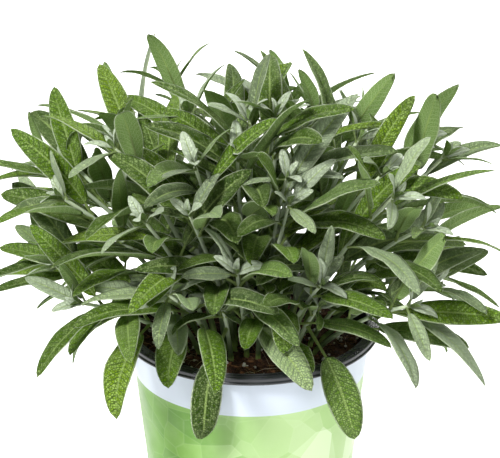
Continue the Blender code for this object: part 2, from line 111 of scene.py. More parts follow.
# %% [markdown]
# ## Helpers for modelling by hand
# An operator works on all that is selected, so everything is deselected first. A turned
# piece starts from one circle, and each new ring is the last one extruded, lifted and
# scaled, as a potter draws up a wall.

# %% Modelling helpers
ORIGIN = (0, 0, 0)


def deselect():
    """Leaves edit mode and selects nothing."""
    if bpy.context.mode != "OBJECT":
        bpy.ops.object.mode_set(mode="OBJECT")
    bpy.ops.object.select_all(action="DESELECT")


def edit(piece):
    """Opens one piece in edit mode with nothing in it selected."""
    deselect()
    piece.select_set(True)
    bpy.context.view_layer.objects.active = piece
    bpy.ops.object.mode_set(mode="EDIT")
    bpy.ops.mesh.select_all(action="DESELECT")


def select_points(piece, chosen):
    """Selects, in edit mode, the vertices that chosen(co) picks."""
    bpy.ops.mesh.select_all(action="DESELECT")
    bpy.ops.object.mode_set(mode="OBJECT")
    for vertex in piece.data.vertices:
        vertex.select = bool(chosen(vertex.co))
    bpy.ops.object.mode_set(mode="EDIT")


def start_ring(name, radius, height, sides):
    """A circle about the pot's axis, open in edit mode and all selected."""
    deselect()
    bpy.ops.mesh.primitive_circle_add(vertices=sides, radius=radius, location=(0, 0, height))
    bpy.ops.object.transform_apply(location=True, rotation=True, scale=True)
    piece = bpy.context.active_object
    piece.name = piece.data.name = name
    bpy.ops.object.mode_set(mode="EDIT")
    bpy.ops.mesh.select_all(action="SELECT")
    return piece


def draw_rings(profile):
    """Draws the selected ring on through (radius, height) points; the first is where it is."""
    for (radius, height), (wider, higher) in zip(profile, profile[1:]):
        bpy.ops.mesh.extrude_region_move(
            TRANSFORM_OT_translate={"value": (0, 0, higher - height)}
        )
        scale = wider / radius
        bpy.ops.transform.resize(value=(scale, scale, 1), center_override=ORIGIN)


def close_up(piece, smooth_angle=35):
    """Merges doubles, points all faces outwards and shades the piece smooth."""
    bpy.ops.mesh.select_all(action="SELECT")
    bpy.ops.mesh.remove_doubles(threshold=1e-6)
    bpy.ops.mesh.normals_make_consistent(inside=False)
    bpy.ops.object.mode_set(mode="OBJECT")
    bpy.ops.object.shade_smooth_by_angle(angle=math.radians(smooth_angle))
    return piece


def apply_modifier(piece, kind, **settings):
    """Adds one modifier and applies it at once."""
    bpy.context.view_layer.objects.active = piece
    modifier = piece.modifiers.new(kind.lower(), kind)
    for name, value in settings.items():
        setattr(modifier, name, value)
    bpy.ops.object.modifier_apply(modifier=modifier.name)


def place_piece(piece, node, slot, *finishes):
    """Hands a finished piece over: it rides on the body and stands for its CAD node."""
    piece.data.materials.clear()
    for finish in finishes:
        piece.data.materials.append(finish)
    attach(piece, "root")
    if node:
        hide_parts(node)
    print(piece.name, len(piece.data.polygons), "faces")
    return piece


# %% [markdown]
# ## Helpers for finishes
# A finish is a tree of nodes. Small functions keep that readable: they add a node with its
# settings, mix two colours, or make a material with its Principled shader. An effect that
# several finishes share becomes a node group with named sockets.

# %% Node helpers
def feed(tree, value, socket):
    """Gives a socket its value: a number, a colour, or another node's output socket."""
    if isinstance(value, bpy.types.NodeSocket):
        tree.links.new(value, socket)
    else:
        socket.default_value = value


def add_node(tree, kind, inputs=None, **settings):
    """Adds a node with its settings and feeds its inputs."""
    made = tree.nodes.new(kind)
    for name, value in settings.items():
        setattr(made, name, value)
    for name, value in (inputs or {}).items():
        feed(tree, value, made.inputs[name])
    return made


def maths(tree, operation, *values):
    """The output of one Math node."""
    inputs = dict(enumerate(values))
    return add_node(tree, "ShaderNodeMath", inputs, operation=operation).outputs[0]


def blend(tree, share, low, high):
    """A colour mix: low at share 0, high at share 1."""
    made = add_node(tree, "ShaderNodeMix", data_type="RGBA")
    for index, value in ((0, share), (6, low), (7, high)):
        feed(tree, (*value, 1) if isinstance(value, tuple) else value, made.inputs[index])
    return made.outputs[2]


def ramp(tree, value, low, high, to_low=0.0, to_high=1.0):
    """Maps value smoothly from low..high to to_low..to_high."""
    made = add_node(
        tree,
        "ShaderNodeMapRange",
        {"Value": value, "From Min": low, "From Max": high, "To Min": to_low, "To Max": to_high},
        interpolation_type="SMOOTHSTEP",
    )
    return made.outputs["Result"]


def noise(tree, place, scale, detail, distortion=0.0):
    """The value of a cloudy noise."""
    inputs = {"Vector": place, "Scale": scale, "Detail": detail, "Distortion": distortion}
    return add_node(tree, "ShaderNodeTexNoise", inputs).outputs[0]


def flat_cells(tree, place, scale, randomness=1.0):
    """(random values of each cell, distance to its edge) in a flat field of cells."""
    kind = "ShaderNodeTexVoronoi"
    inputs = {"Vector": place, "Scale": scale, "Randomness": randomness}
    cells = add_node(tree, kind, inputs, voronoi_dimensions="2D")
    edges = add_node(tree, kind, inputs, voronoi_dimensions="2D", feature="DISTANCE_TO_EDGE")
    values = add_node(tree, "ShaderNodeSeparateColor", {0: cells.outputs["Color"]}).outputs
    return values, edges.outputs["Distance"]


def new_group(name, inputs, outputs):
    """A node group with named sockets: (tree, its input node, its output node)."""
    tree = bpy.data.node_groups.new(name, "ShaderNodeTree")
    for label, kind, value in inputs:
        socket = tree.interface.new_socket(label, in_out="INPUT", socket_type=kind)
        if value is not None:
            socket.default_value = value
    for label, kind in outputs:
        tree.interface.new_socket(label, in_out="OUTPUT", socket_type=kind)
    return tree, tree.nodes.new("NodeGroupInput"), tree.nodes.new("NodeGroupOutput")


def use_group(tree, group, **inputs):
    """Places a node group in a material."""
    made = tree.nodes.new("ShaderNodeGroup")
    made.node_tree = group
    for name, value in inputs.items():
        feed(tree, value, made.inputs[name.replace("_", " ")])
    return made.outputs


def new_finish(name, **constants):
    """(material, tree, Principled shader) with constants set on the shader's own sockets."""
    finish = bpy.data.materials.new(name)
    finish.use_nodes = True
    tree = finish.node_tree
    shader = tree.nodes["Principled BSDF"]
    for label, value in constants.items():
        shader.inputs[label.replace("_", " ")].default_value = value
    return finish, tree, shader


def add_bump(tree, shader, height, strength, distance):
    """Feeds a height to the shader's normal."""
    made = add_node(
        tree, "ShaderNodeBump", {"Height": height, "Strength": strength, "Distance": distance}
    )
    tree.links.new(made.outputs["Normal"], shader.inputs["Normal"])
    return made.outputs["Normal"]


def object_place(tree):
    """Object coordinates, which are the model's own metres."""
    return add_node(tree, "ShaderNodeTexCoord").outputs["Object"]


# %% [markdown]
# ### Shared effects
# `wear_grain` is the fine unevenness of any moulded or printed surface: a cloudy value for
# colour and gloss, and a fine height for the bump. `speckle` is a scatter of small specks,
# used for dust and for the pale hairs of the felt.

# %% Shared node groups
wear_grain, group_in, group_out = new_group(
    "wear_grain",
    [("Place", "NodeSocketVector", None), ("Cloud Scale", "NodeSocketFloat", 60.0),
     ("Grain Scale", "NodeSocketFloat", 1400.0)],
    [("Cloud", "NodeSocketFloat"), ("Height", "NodeSocketFloat")],
)
given = group_in.outputs
cloud = noise(wear_grain, given["Place"], given["Cloud Scale"], 5.0)
grain = noise(wear_grain, given["Place"], given["Grain Scale"], 3.0)
wear_grain.links.new(cloud, group_out.inputs["Cloud"])
wear_grain.links.new(grain, group_out.inputs["Height"])

speckle, group_in, group_out = new_group(
    "speckle",
    [("Place", "NodeSocketVector", None), ("Scale", "NodeSocketFloat", 900.0),
     ("Amount", "NodeSocketFloat", 0.2)],
    [("Mask", "NodeSocketFloat")],
)
given = group_in.outputs
cells = add_node(
    speckle, "ShaderNodeTexVoronoi", {"Vector": given["Place"], "Scale": given["Scale"]}
)
speck_size = maths(speckle, "MULTIPLY", cells.outputs["Color"], given["Amount"])
speck = maths(speckle, "LESS_THAN", cells.outputs["Distance"], speck_size)
speckle.links.new(speck, group_out.inputs["Mask"])
print("groups", [g.name for g in bpy.data.node_groups])

# %% [markdown]
# ## The pot
# A nursery pot is thin black plastic: a flat base with drain holes, a tapered wall and
# a rolled rim that stiffens it. The rim carries fine rings: a rounded shoulder outside, a
# flat crown between two shallow grooves, and a small bead under the lip. They catch the
# light, so they are modelled. The shape is a body of revolution, drawn ring by ring.

# %% Pot sizes
pot_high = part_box("pot")[1]
soil_low, soil_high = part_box("potting_soil")
sleeve_low, sleeve_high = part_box("printed_sleeve")
ROUND_SIDES = 144
WALL = 1.2 * MM
RIM_RADIUS = pot_high.x
RIM_DROP = 4.0 * MM
BASE_RADIUS = 51.5 * MM
TOP_RADIUS = 63.5 * MM
LIP_HEIGHT = pot_high.z - RIM_DROP
HALF_WAY = 60 * MM
FOOT = 1.6 * MM  # rounding of the base's edge
MOUTH = 0.8 * MM  # rounding of the rim's inner edge


def wall_radius(z):
    """Outside radius of the tapered wall at a height."""
    return BASE_RADIUS + z / LIP_HEIGHT * (TOP_RADIUS - BASE_RADIUS)


def arc(centre, radius, start, end, steps):
    """(radius, height) points of a rounding, from one angle to another in degrees."""
    angles = [math.radians(start + (end - start) * k / steps) for k in range(steps + 1)]
    return [(centre[0] + radius * math.cos(a), centre[1] + radius * math.sin(a)) for a in angles]


print("rim", round(2 * RIM_RADIUS / MM), "mm across, wall", WALL / MM, "mm")

# %% Pot shape
def rim_crown(inner, outer, top):
    """The rim's top from outside in: two shallow grooves either side of a flat crown."""
    groove, ridge = 0.35 * MM, 0.45 * MM
    points = []
    for share in (0.16, 0.78):
        middle = outer + (inner - outer) * share
        points += [
            (middle + ridge, top),
            (middle + ridge / 2, top - groove),
            (middle - ridge / 2, top - groove),
            (middle - ridge, top),
        ]
    return points


def pot_profile():
    """Round the pot's section: base, wall, lip, bead, shoulder, crown, inside, floor."""
    top = pot_high.z
    inner = wall_radius(top) - WALL
    bead = 0.8 * MM
    shoulder = 1.1 * MM
    outer = RIM_RADIUS - bead
    return [
        (BASE_RADIUS - 2 * MM, 0.0),
        *arc((wall_radius(FOOT) - FOOT, FOOT), FOOT, -80, -10, 4),
        (wall_radius(40 * MM), 40 * MM),
        (wall_radius(80 * MM), 80 * MM),
        (wall_radius(LIP_HEIGHT), LIP_HEIGHT),
        (wall_radius(top - WALL), top - WALL),
        (outer - WALL, top - WALL),
        (outer - WALL, LIP_HEIGHT),
        *arc((outer, LIP_HEIGHT + bead), bead, -90, 70, 6),
        (outer, LIP_HEIGHT + 2.1 * bead),
        *arc((outer - shoulder, top - shoulder), shoulder, 0, 90, 5),
        *rim_crown(inner + MOUTH, outer - shoulder, top),
        *arc((inner + MOUTH, top - MOUTH), MOUTH, 90, 180, 4),
        (wall_radius(LIP_HEIGHT - 2 * MM) - WALL, LIP_HEIGHT - 2 * MM),
        (wall_radius(HALF_WAY) - WALL, HALF_WAY),
        (wall_radius(WALL) - WALL, WALL),
    ]


profile = pot_profile()
pot = start_ring("nursery_pot", *profile[0], ROUND_SIDES)
bpy.ops.mesh.edge_face_add()
draw_rings(profile)
bpy.ops.mesh.edge_face_add()
close_up(pot)
print("pot", len(pot.data.polygons), "faces")

# %% Drain holes
DRAIN_HOLES = 10
DRAIN_RADIUS = 2.7 * MM
DRAIN_CIRCLE = 34 * MM
deselect()
drills = []
for hole in range(DRAIN_HOLES):
    turn = math.tau * hole / DRAIN_HOLES
    bpy.ops.mesh.primitive_cylinder_add(
        vertices=20, radius=DRAIN_RADIUS, depth=6 * MM,
        location=(DRAIN_CIRCLE * math.cos(turn), DRAIN_CIRCLE * math.sin(turn), 0),
    )
    drills.append(bpy.context.active_object)
for drill in drills:
    drill.select_set(True)
bpy.ops.object.join()
drill = bpy.context.active_object
deselect()
apply_modifier(pot, "BOOLEAN", operation="DIFFERENCE", object=drill)
bpy.data.objects.remove(drill)
print("pot with drain holes", len(pot.data.polygons), "faces")

# %% [markdown]
# ### Black pot plastic
# Injection-moulded polypropylene: deep black, fairly glossy, never perfect. Handling leaves
# cloudy patches in the gloss and fine dust of peat, least of it on the rim.

# %% Black plastic finish
pot_black, tree, shader = new_finish("black_pot_plastic", Specular_IOR_Level=0.55)
place = object_place(tree)
worn = use_group(tree, wear_grain, Place=place, Cloud_Scale=70.0, Grain_Scale=2200.0)
dust = use_group(tree, speckle, Place=place, Scale=800.0, Amount=0.36)["Mask"]
place_axes = add_node(tree, "ShaderNodeSeparateXYZ", {0: place}).outputs
rim_share = ramp(tree, place_axes["Z"], rim_top - 0.016, rim_top - 0.003, 0.55, 0.10)
dust_share = maths(tree, "MULTIPLY", dust, rim_share)
black = blend(tree, worn["Cloud"], (0.006, 0.007, 0.009), (0.022, 0.024, 0.028))
dusty = blend(tree, dust_share, black, (0.11, 0.075, 0.05))
tree.links.new(dusty, shader.inputs["Base Color"])
tree.links.new(ramp(tree, worn["Cloud"], 0.3, 0.7, 0.22, 0.42), shader.inputs["Roughness"])
add_bump(tree, shader, worn["Height"], 0.25, 0.0002)
place_piece(pot, "pot", "black_plastic", pot_black)

# %% [markdown]
# ## The printed sleeve
# A thin film is wrapped round the wall and overlaps itself at the back. It is drawn as a
# closed band a little over half a millimetre thick, with softened edges. The overlap is a
# strip of its outer face, pushed out by a fifth of a millimetre.

# %% Sleeve shape
FILM = 0.6 * MM
FILM_GAP = 0.3 * MM
SEAM_HALF_ANGLE = math.radians(5)
SEAM_SCALE = 1.0035  # of the radius, where the film overlaps itself
EDGE = 0.15 * MM


def film_radius(z):
    """Inside radius of the film at a height."""
    return wall_radius(z) + FILM_GAP


low, high = sleeve_low.z, sleeve_high.z
levels = [low + (high - low) * k / 12 for k in range(13)]
film_profile = [
    (film_radius(low) + EDGE, low),
    (film_radius(low) + FILM - EDGE, low),
    (film_radius(low) + FILM, low + EDGE),
    *[(film_radius(z) + FILM, z) for z in levels[1:-1]],
    (film_radius(high) + FILM, high - EDGE),
    (film_radius(high) + FILM - EDGE, high),
    (film_radius(high) + EDGE, high),
    (film_radius(high), high - EDGE),
    *[(film_radius(z), z) for z in levels[-2:0:-1]],
    (film_radius(low), low + EDGE),
    (film_radius(low) + EDGE, low),
]
sleeve = start_ring("film_sleeve", *film_profile[0], ROUND_SIDES)
draw_rings(film_profile)
close_up(sleeve, 50)
edit(sleeve)
select_points(
    sleeve,
    lambda co: abs(math.atan2(co.x, co.y)) < SEAM_HALF_ANGLE
    and math.hypot(co.x, co.y) > film_radius(co.z) + FILM / 2,
)
bpy.ops.transform.resize(value=(SEAM_SCALE, SEAM_SCALE, 1), center_override=ORIGIN)
bpy.ops.object.mode_set(mode="OBJECT")
print("sleeve", len(sleeve.data.polygons), "faces")

# %% [markdown]
# ### Printed film
# Right under the rim runs a plain cool-white band, closed by a fine line. Below it the film
# is printed in pale greens: large translucent facets that overlap like folded tissue. Two
# fields of straight-edged cells at different slants give the facets, each with its own tint,
# and a fine outline keeps neighbours apart. The pattern is laid out on the unrolled film:
# distance round the pot against height.

# %% Printed film finish
BAND = 20.5 * MM  # depth of the white band
MEAN_RADIUS = 60 * MM  # of the film, for distances round it
# A dark and a light print tint for each side: the deep greens on the left are painted shade, and
# the pale whitish greens on the right are painted light.
PAPER_GREENS_WITH_PAINTED_LIGHT = (  # dark and light tints, on the left and on the right
    ((0.04, 0.14, 0.002), (0.12, 0.27, 0.02)), ((0.20, 0.35, 0.09), (0.50, 0.60, 0.38))
)
WASH_GREENS_WITH_PAINTED_LIGHT = (
    ((0.04, 0.14, 0.002), (0.13, 0.29, 0.02)), ((0.24, 0.41, 0.11), (0.54, 0.64, 0.42))
)
FOLD_PALE, WATER_MARK, FADED = (0.60, 0.70, 0.48), (0.56, 0.66, 0.42), (0.54, 0.64, 0.44)
BAND_WHITE, LINE_GREY, SCUFF = (0.47, 0.52, 0.59), (0.42, 0.50, 0.48), (0.46, 0.47, 0.45)
film_print, tree, shader = new_finish("printed_film", Specular_IOR_Level=0.25)
place = object_place(tree)
axes = add_node(tree, "ShaderNodeSeparateXYZ", {0: place}).outputs
forward = maths(tree, "MULTIPLY", axes["Y"], -1.0)
angle = maths(tree, "ARCTAN2", axes["X"], forward)
round_pot = maths(tree, "MULTIPLY", angle, MEAN_RADIUS)
unrolled = add_node(tree, "ShaderNodeCombineXYZ", {"X": round_pot, "Y": axes["Z"]}).outputs[0]


def facet_field(scale, slant, stretch):
    """(random values of each facet, closeness to a fold) for one field of facets."""
    laid = add_node(
        tree, "ShaderNodeMapping",
        {"Vector": unrolled, "Rotation": (0, 0, slant), "Scale": (1, stretch, 1)},
    ).outputs[0]
    values, off_fold = flat_cells(tree, laid, scale)
    return values, ramp(tree, off_fold, 0.0, 0.035, 1.0, 0.0)


large_values, large_fold = facet_field(34.0, 0.5, 1.5)
small_values, small_fold = facet_field(58.0, -0.7, 0.8)
# Painted light and shade: across the front the print runs from the deep greens on the left to the
# pale greens on the right.
painted_light_side = ramp(tree, axes["X"], -0.045, 0.025)
tints = []
for value, (left, right) in ((large_values[0], PAPER_GREENS_WITH_PAINTED_LIGHT), (small_values[1], WASH_GREENS_WITH_PAINTED_LIGHT)):
    tints.append(blend(tree, painted_light_side, blend(tree, value, *left), blend(tree, value, *right)))
veiled = blend(tree, maths(tree, "MULTIPLY", small_values[0], 0.75), *tints)
fold = maths(tree, "MULTIPLY", maths(tree, "MAXIMUM", large_fold, small_fold), 0.05)
folded = blend(tree, fold, veiled, FOLD_PALE)
watery = noise(tree, unrolled, 90.0, 6.0)
printed = blend(tree, ramp(tree, watery, 0.35, 0.75, 0.0, 0.05), folded, WATER_MARK)
band_edge = sleeve_high.z - BAND
in_band = ramp(tree, axes["Z"], band_edge - 0.0001, band_edge + 0.0001)
faded_edge = ramp(tree, axes["Z"], band_edge - 0.004, band_edge + 0.001, 0.0, 0.08)
printed = blend(tree, faded_edge, printed, FADED)
banded = blend(tree, in_band, printed, BAND_WHITE)
LINE_ABOVE, LINE_HALF = 1.6 * MM, 0.18 * MM
off_line = maths(tree, "ABSOLUTE", maths(tree, "SUBTRACT", axes["Z"], band_edge + LINE_ABOVE))
line = ramp(tree, off_line, LINE_HALF, LINE_HALF * 1.6, 0.35, 0.0)
lined = blend(tree, line, banded, LINE_GREY)
worn = use_group(tree, wear_grain, Place=place, Cloud_Scale=45.0, Grain_Scale=900.0)
scuffed = blend(tree, ramp(tree, worn["Cloud"], 0.55, 0.8, 0.0, 0.06), lined, SCUFF)
tree.links.new(scuffed, shader.inputs["Base Color"])
tree.links.new(ramp(tree, worn["Cloud"], 0.3, 0.7, 0.30, 0.44), shader.inputs["Roughness"])
add_bump(tree, shader, worn["Cloud"], 0.12, 0.0006)
place_piece(sleeve, "printed_sleeve", "printed_film", film_print)

# %% [markdown]
# ## The potting soil
# Peat-based mix settles into soft clods with hollows between them, and falls away towards
# the wall. The top is drawn inwards from the wall in many rings, then lifted and lowered by
# three cloudy textures: the lie of the soil, its clods and its crumbs.

# %% Soil body
SOIL_SIDES = 160
SOIL_RINGS = 66
SOIL_FALL, FALL_WIDTH = 1.5 * MM, 6 * MM  # how the soil drops towards the wall
soil_radius = wall_radius(soil_high.z) - WALL - FILM_GAP
soil_bottom = soil_low.z
soil_top = soil_high.z
edge_height = soil_top - SOIL_FALL


def soil_height(radius):
    """Height of the settled soil at a distance from the pot's axis."""
    return edge_height + SOIL_FALL * min(1, (soil_radius - radius) / FALL_WIDTH)


rings = [soil_radius * (1 - k / SOIL_RINGS) for k in range(SOIL_RINGS)]
soil_profile = [
    (wall_radius(soil_bottom) - WALL - FILM_GAP, soil_bottom),
    (wall_radius(HALF_WAY) - WALL - FILM_GAP, HALF_WAY),
    *[(radius, soil_height(radius)) for radius in rings],
]
soil = start_ring("peat_soil", *soil_profile[0], SOIL_SIDES)
bpy.ops.mesh.edge_face_add()
draw_rings(soil_profile)
bpy.ops.mesh.edge_face_add()
close_up(soil, 60)

# %% Clods
surface = soil.vertex_groups.new(name="surface")
surface.add([v.index for v in soil.data.vertices if v.co.z > edge_height - 1e-6], 1, "REPLACE")
for name, size, depth in (("lie", 16, 2.4), ("clods", 5, 2.2), ("crumbs", 1.7, 1.2)):
    cloud_texture = bpy.data.textures.new(name, "CLOUDS")
    cloud_texture.noise_scale = size * MM
    cloud_texture.noise_depth = 2
    apply_modifier(
        soil, "DISPLACE", texture=cloud_texture, texture_coords="LOCAL", direction="Z",
        strength=depth * MM, mid_level=0.55, vertex_group="surface",
    )
ground = BVHTree.FromObject(soil, bpy.context.evaluated_depsgraph_get())


def ground_at(x, y):
    """Height of the clods' surface at a point."""
    hit = ground.ray_cast(Vector((x, y, soil_top + 0.02)), Vector((0, 0, -1)))[0]
    return hit.z if hit else soil_top


print("soil", len(soil.data.polygons), "faces, middle at", round(ground_at(0, 0) / MM, 1), "mm")

# %% [markdown]
# ### Peat
# Damp peat is nearly black-brown, and foxy red-brown on dry fibres. Broken noises choose
# between the browns, and a coarse bump makes the crumbs.

# %% Peat finish
peat, tree, shader = new_finish("moist_peat", Roughness=0.92, Specular_IOR_Level=0.25)
place = object_place(tree)
worn = use_group(tree, wear_grain, Place=place, Cloud_Scale=260.0, Grain_Scale=900.0)
fibre = noise(tree, place, 620.0, 8.0, 1.6)
crumb = add_node(tree, "ShaderNodeTexVoronoi", {"Vector": place, "Scale": 520.0})
dampness = ramp(tree, worn["Cloud"], 0.38, 0.62)
damp = blend(tree, dampness, (0.010, 0.005, 0.003), (0.055, 0.024, 0.012))
foxy = blend(tree, ramp(tree, fibre, 0.52, 0.70, 0.0, 0.75), damp, (0.19, 0.080, 0.032))
crumb_share = maths(tree, "MULTIPLY", crumb.outputs["Color"], 0.30)
tinted = blend(tree, crumb_share, foxy, (0.10, 0.05, 0.028))
tree.links.new(tinted, shader.inputs["Base Color"])
hollows = maths(tree, "MULTIPLY", crumb.outputs["Distance"], -0.8)
rough_height = maths(tree, "ADD", hollows, fibre)
add_bump(tree, shader, rough_height, 0.9, 0.0012)
place_piece(soil, "potting_soil", "potting_mix", peat)

# %% [markdown]
# ### What is mixed into the peat
# Crumbs of peat, white perlite, foxy coconut fibres and fine pale roots lie on the soil. Each
# kind is modelled once, with few faces, and copied: every copy is turned, stretched and set
# down on the clods by seeded dice, then all copies are joined into one piece.

# %% Loose bits
LITTER_SEED, GROWTH_SEED = 41, 7
dice = random.Random(LITTER_SEED)
shake = np.random.default_rng(LITTER_SEED)


def random_spot(from_wall):
    """A point on the soil, evenly spread, kept some way from its edge."""
    radius = math.sqrt(dice.uniform(0, (soil_radius - from_wall) ** 2))
    turn = dice.uniform(0, math.tau)
    return radius * math.cos(turn), radius * math.sin(turn)


def corners_of(mesh):
    """A mesh's vertices as an array."""
    points = np.empty(3 * len(mesh.vertices), np.float32)
    mesh.vertices.foreach_get("co", points)
    return points.reshape(-1, 3).astype(float)


def copy_of(master, points, **marks):
    """A copy of a master, reshaped to points. Each kind of mark has one or four values a point."""
    mesh = master.data.copy()
    mesh.vertices.foreach_set("co", np.asarray(points, np.float32).ravel())
    mesh.update()
    for label, values in marks.items():
        kind, field = ("FLOAT_COLOR", "color") if values.ndim > 1 else ("FLOAT", "value")
        layer = mesh.attributes.new(label, kind, "POINT")
        layer.data.foreach_set(field, values.astype(np.float32).ravel())
    made = bpy.data.objects.new(master.name + "_copy", mesh)
    bpy.context.scene.collection.objects.link(made)
    return made


def join_copies(name, copies):
    """Joins copies into the first of them, with a fresh name."""
    deselect()
    for copy in copies:
        copy.select_set(True)
    bpy.context.view_layer.objects.active = copies[0]
    bpy.ops.object.join()
    piece = bpy.context.active_object
    piece.name = piece.data.name = name
    return piece


def random_turn():
    """A random rotation as a 3 x 3 array."""
    axis, _ = np.linalg.qr(shake.normal(size=(3, 3)))
    return axis * np.sign(np.linalg.det(axis))


def scatter_grains(name, count, smallest, largest, bury, flatness, finish):
    """Copies of a lumpy grain set down over the soil."""
    deselect()
    bpy.ops.mesh.primitive_ico_sphere_add(subdivisions=1, radius=0.5)
    master = bpy.context.active_object
    bpy.ops.object.mode_set(mode="EDIT")
    bpy.ops.mesh.select_all(action="SELECT")
    bpy.ops.mesh.bevel(offset=0.12, segments=1, affect="VERTICES")
    bpy.ops.object.mode_set(mode="OBJECT")
    bpy.ops.object.shade_smooth()
    shape = corners_of(master.data)
    copies = []
    for _ in range(count):
        x, y = random_spot(1.5 * MM)
        size = dice.uniform(smallest, largest) * MM
        lumpy = shape * (1 + shake.uniform(-0.22, 0.22, (len(shape), 1)))
        lumpy = (lumpy * shake.uniform(0.65, 1.25, 3)) @ random_turn().T
        lumpy[:, 2] *= flatness
        lift = ground_at(x, y) + size * (0.5 * flatness - bury)
        marks = np.full((len(shape), 4), dice.random())
        copies.append(copy_of(master, lumpy * size + (x, y, lift), bit_marks=marks))
    bpy.data.objects.remove(master)
    return place_piece(join_copies(name, copies), None, "potting_mix", finish)


def bit_finish(name, dull, bright, grain_scale, roughness):
    """A finish for loose bits: each has its own shade between dull and bright."""
    finish, tree, shader = new_finish(name, Roughness=roughness, Specular_IOR_Level=0.3)
    marks = add_node(tree, "ShaderNodeAttribute", attribute_name="bit_marks")
    worn = use_group(
        tree, wear_grain, Place=object_place(tree), Cloud_Scale=700.0, Grain_Scale=grain_scale
    )
    shade = blend(tree, marks.outputs["Fac"], dull, bright)
    dirt = ramp(tree, worn["Cloud"], 0.3, 0.7, 0.35, 0.0)
    mottled = blend(tree, dirt, shade, tuple(c * 0.45 for c in dull))
    tree.links.new(mottled, shader.inputs["Base Color"])
    add_bump(tree, shader, worn["Height"], 0.8, 0.0004)
    return finish


crumb_brown = bit_finish("peat_crumbs", (0.020, 0.010, 0.006), (0.15, 0.065, 0.030), 1500.0, 0.9)
perlite_white = bit_finish("perlite_white", (0.60, 0.56, 0.50), (0.90, 0.88, 0.84), 2600.0, 0.8)
bark_brown = bit_finish("bark_brown", (0.07, 0.030, 0.014), (0.26, 0.12, 0.055), 1100.0, 0.85)
scatter_grains("peat_crumb_grains", 520, 1.2, 3.4, 0.25, 0.8, crumb_brown)
scatter_grains("bark_chips", 90, 2.4, 5.2, 0.12, 0.35, bark_brown)
scatter_grains("perlite_grains", 105, 1.1, 2.9, 0.12, 0.85, perlite_white)

# %% Fibres and roots
FIBRE_LENGTHS = 5


def new_thread(sides, lengths):
    """A thin closed tube along X, from 0 to 1, drawn out from one round face."""
    deselect()
    bpy.ops.mesh.primitive_circle_add(vertices=sides, radius=1, rotation=(0, math.pi / 2, 0))
    bpy.ops.object.transform_apply(location=True, rotation=True, scale=True)
    bpy.ops.object.mode_set(mode="EDIT")
    bpy.ops.mesh.select_all(action="SELECT")
    bpy.ops.mesh.edge_face_add()
    for _ in range(lengths):
        bpy.ops.mesh.extrude_region_move(TRANSFORM_OT_translate={"value": (1 / lengths, 0, 0)})
    return close_up(bpy.context.active_object, 60)


def scatter_threads(name, count, shortest, longest, thickness, arch, finish):
    """Copies of a thread laid in curls over the clods."""
    master = new_thread(4, FIBRE_LENGTHS)
    shape = corners_of(master.data)
    copies = []
    for _ in range(count):
        x, y = random_spot(3 * MM)
        length = dice.uniform(shortest, longest) * MM
        turn, curl = dice.uniform(0, math.tau), dice.uniform(-2.2, 2.2)
        rise = dice.uniform(0.2, arch) * MM
        line = []
        for k in range(FIBRE_LENGTHS + 1):
            share = k / FIBRE_LENGTHS
            line.append((x, y, ground_at(x, y) + rise * math.sin(math.pi * share) - 0.1 * MM))
            turn += curl / FIBRE_LENGTHS
            x += length / FIBRE_LENGTHS * math.cos(turn)
            y += length / FIBRE_LENGTHS * math.sin(turn)
            shrink = min(1, (soil_radius - 2 * MM) / max(math.hypot(x, y), 1e-6))
            x, y = x * shrink, y * shrink
        line = np.array(line)
        at = np.rint(shape[:, 0] * FIBRE_LENGTHS).astype(int)
        side = np.array((-math.sin(turn), math.cos(turn), 0))
        width = dice.uniform(0.6, 1.2) * thickness * MM / 2
        taper = (1 - 0.6 * shape[:, 0])[:, None] * width
        points = line[at] + taper * (shape[:, 1:2] * side + shape[:, 2:3] * np.array((0, 0, 1)))
        marks = np.full((len(shape), 4), dice.random())
        copies.append(copy_of(master, points, bit_marks=marks))
    bpy.data.objects.remove(master)
    return place_piece(join_copies(name, copies), None, "potting_mix", finish)


coir = bit_finish("coir_fibre", (0.15, 0.062, 0.024), (0.40, 0.22, 0.10), 1800.0, 0.8)
root_pale = bit_finish("pale_root", (0.34, 0.25, 0.16), (0.66, 0.56, 0.42), 1500.0, 0.7)
scatter_threads("coir_fibres", 320, 4, 15, 0.34, 2.2, coir)
scatter_threads("fine_roots", 60, 8, 24, 0.42, 3.6, root_pale)

# %% [markdown]
# ## Reading the shoots
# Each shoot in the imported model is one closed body: a square stem, and leaves drawn out of
# its faces. Its corners tell where every leaf is. A leaf ends in a tip with four neighbours
# round it; behind them lie two or three rings of four, and then the face of the stem. The
# functions below walk back from each tip and note the leaf's rings.

# %% Shoot reading
BLADE_DEPTH = 1.0 * MM  # between the upper and under corner of a blade's ring
DEPTH_SLACK = 0.06 * MM
PETIOLE_DEPTH = 1.2 * BLADE_DEPTH  # a petiole's end is deeper than this
TIP_REACH = 1.5 * MM  # a tip stands at least this far beyond its last ring
SAME_PLACE = 2e-6  # corners closer than this are one


def merged_corners(node):
    """(points, neighbours) of a CAD node, with its loose triangles' corners merged."""
    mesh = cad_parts[node].data
    mesh.calc_loop_triangles()
    corners = corners_of(mesh)
    keys = np.round(corners / SAME_PLACE).astype(np.int64)
    _, first, index = np.unique(keys, axis=0, return_index=True, return_inverse=True)
    points = corners[first]
    around = [set() for _ in points]
    for triangle in mesh.loop_triangles:
        a, b, c = (int(index.reshape(-1)[v]) for v in triangle.vertices)
        around[a] |= {b, c}
        around[b] |= {a, c}
        around[c] |= {a, b}
    return points, [s - {i} for i, s in enumerate(around)]


def opposite_pairs(ring, around):
    """The two diagonals of a ring of four."""
    first = ring[0]
    beside = [v for v in ring[1:] if v in around[first]]
    if len(beside) != 2:
        return None
    across = next(v for v in ring[1:] if v not in beside)
    return (first, across), tuple(beside)


